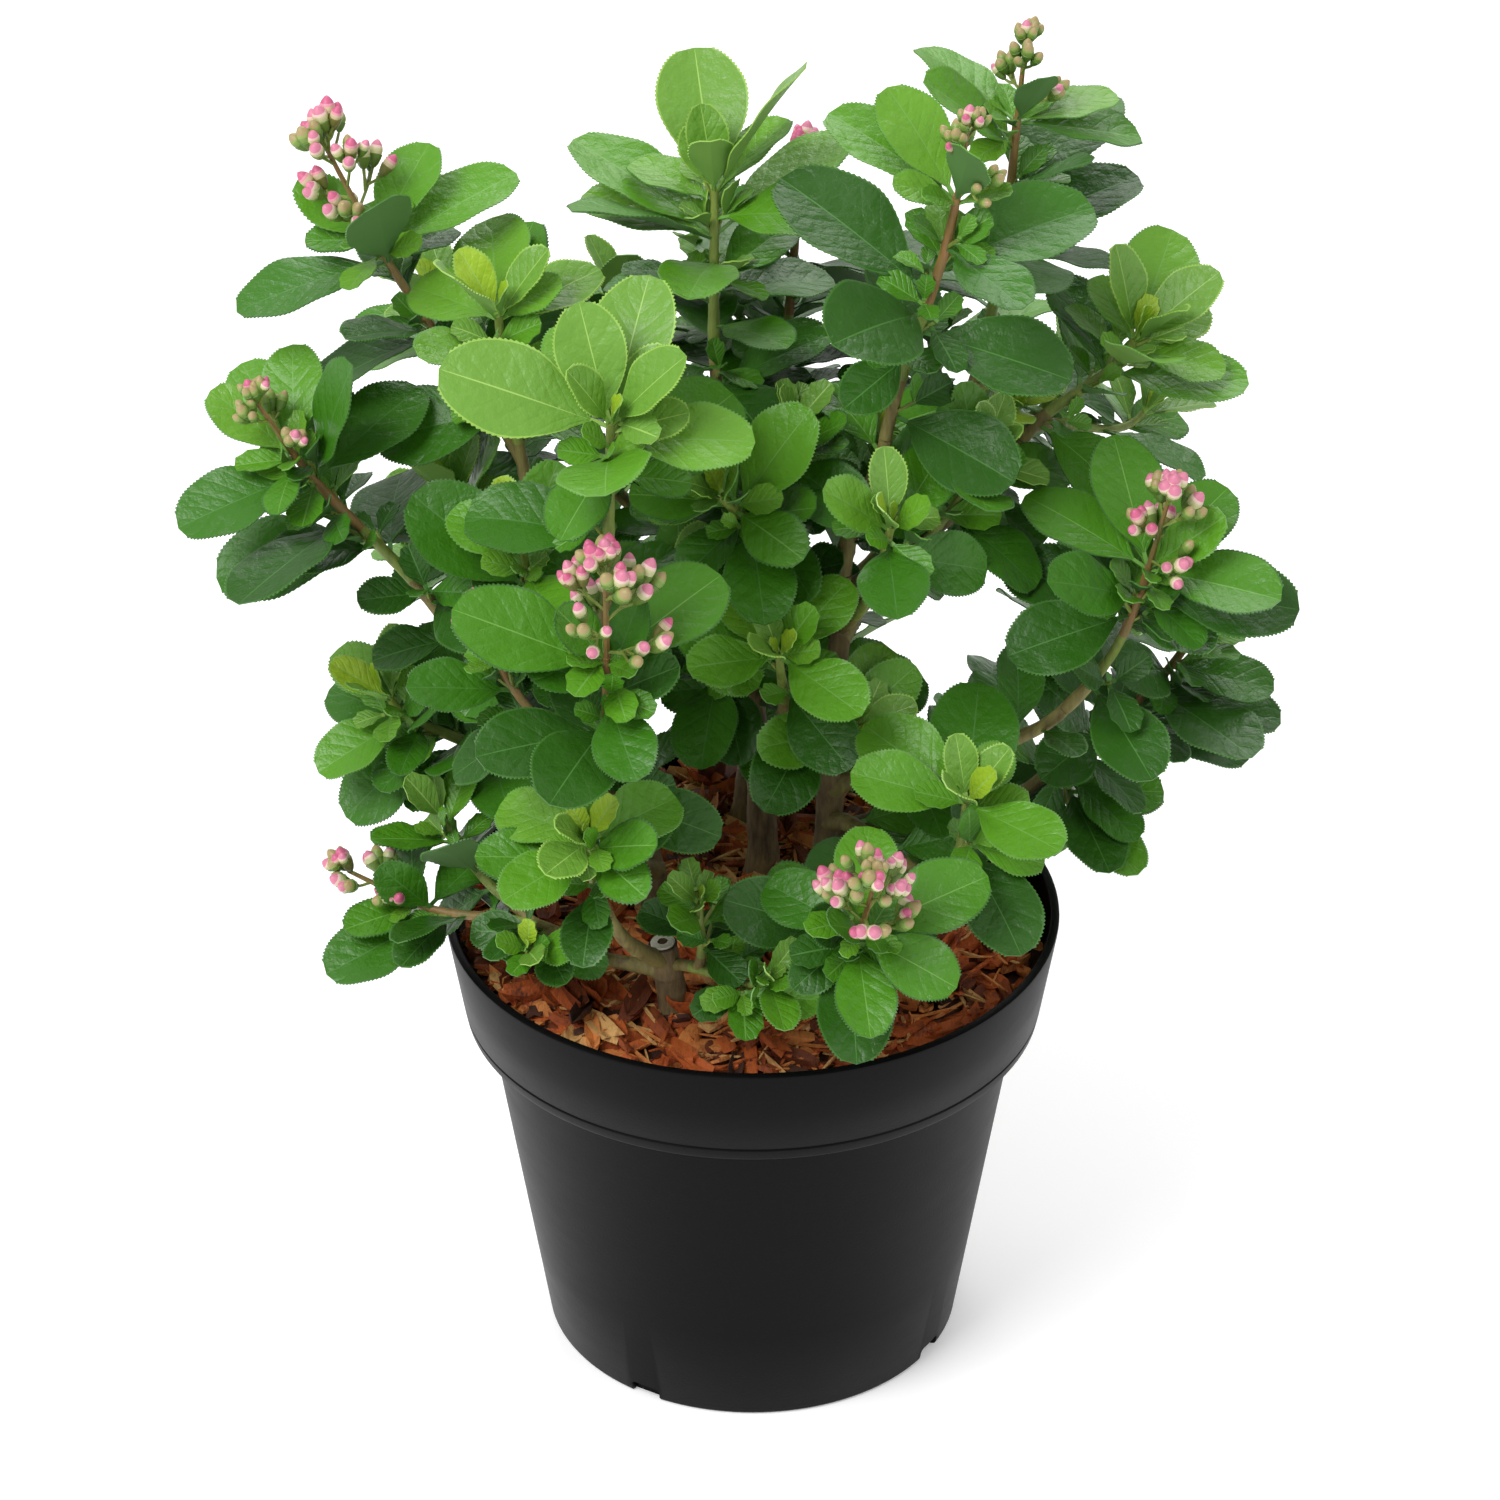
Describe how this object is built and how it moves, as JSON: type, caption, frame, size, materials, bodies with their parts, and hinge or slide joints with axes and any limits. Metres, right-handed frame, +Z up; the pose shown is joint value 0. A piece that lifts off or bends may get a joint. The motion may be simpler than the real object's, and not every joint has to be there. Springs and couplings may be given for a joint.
{
  "type": "potted escallonia shrub",
  "caption": "Young evergreen shrub with glossy toothed leaves and heads of pink-tipped flower buds, standing in a round black nursery pot topped with bark mulch.",
  "frame": {"origin": "centre of the pot's flat underside", "axes": "+Z up along the pot's axis, -Y the plant's front, +X to its right seen from the front"},
  "size_m": [0.2943, 0.2325, 0.3786],
  "materials": {
    "pot": "satin black moulded plastic",
    "bark_mulch": "shredded rust-brown bark",
    "bark": "thin fissured bark",
    "green_wood": "smooth young bark",
    "foliage": "glossy leaves"
  },
  "bodies": {
    "root": {"pot": "pot", "growing_medium": "bark_mulch", "stem_left": "bark", "stem_centre": "bark", "stem_right": "bark", "stem_back": "bark", "stem_pruned": "bark", "bough_top_left": "green_wood", "bough_centre_left": "green_wood", "bough_left": "green_wood", "bough_left_low": "green_wood", "bough_front_left": "green_wood", "bough_top_centre": "green_wood", "bough_centre_upper": "green_wood", "bough_centre": "green_wood", "bough_top_right": "green_wood", "bough_highest": "green_wood", "bough_right_upper": "green_wood", "bough_right": "green_wood", "bough_lower_right": "green_wood", "bough_front_right": "green_wood", "bough_front": "green_wood", "bough_front_left_low": "green_wood", "bough_rim_left": "green_wood", "bough_back_left": "green_wood", "bough_back_centre": "green_wood", "bough_back_right": "green_wood", "bough_back_low_left": "green_wood", "bough_back_low_right": "green_wood", "foliage_centre_left": "foliage", "foliage_front_left": "foliage", "foliage_front": "foliage", "foliage_front_right": "foliage", "foliage_top_right": "foliage", "foliage_right": "foliage", "foliage_front_left_low": "foliage", "foliage_centre": "foliage", "foliage_left": "foliage", "foliage_top_left": "foliage", "foliage_top_centre": "foliage", "foliage_highest": "foliage", "foliage_right_upper": "foliage", "foliage_rim_left": "foliage", "foliage_front_low": "foliage", "foliage_left_low": "foliage", "foliage_lower_right": "foliage", "foliage_centre_upper": "foliage", "foliage_inner_left": "foliage", "foliage_inner_centre": "foliage", "foliage_inner_right": "foliage", "foliage_back_left": "foliage", "foliage_back_centre": "foliage", "foliage_back_right": "foliage", "foliage_back_low": "foliage", "foliage_back_low_left": "foliage", "foliage_back_low_right": "foliage"}
  },
  "joints": []
}
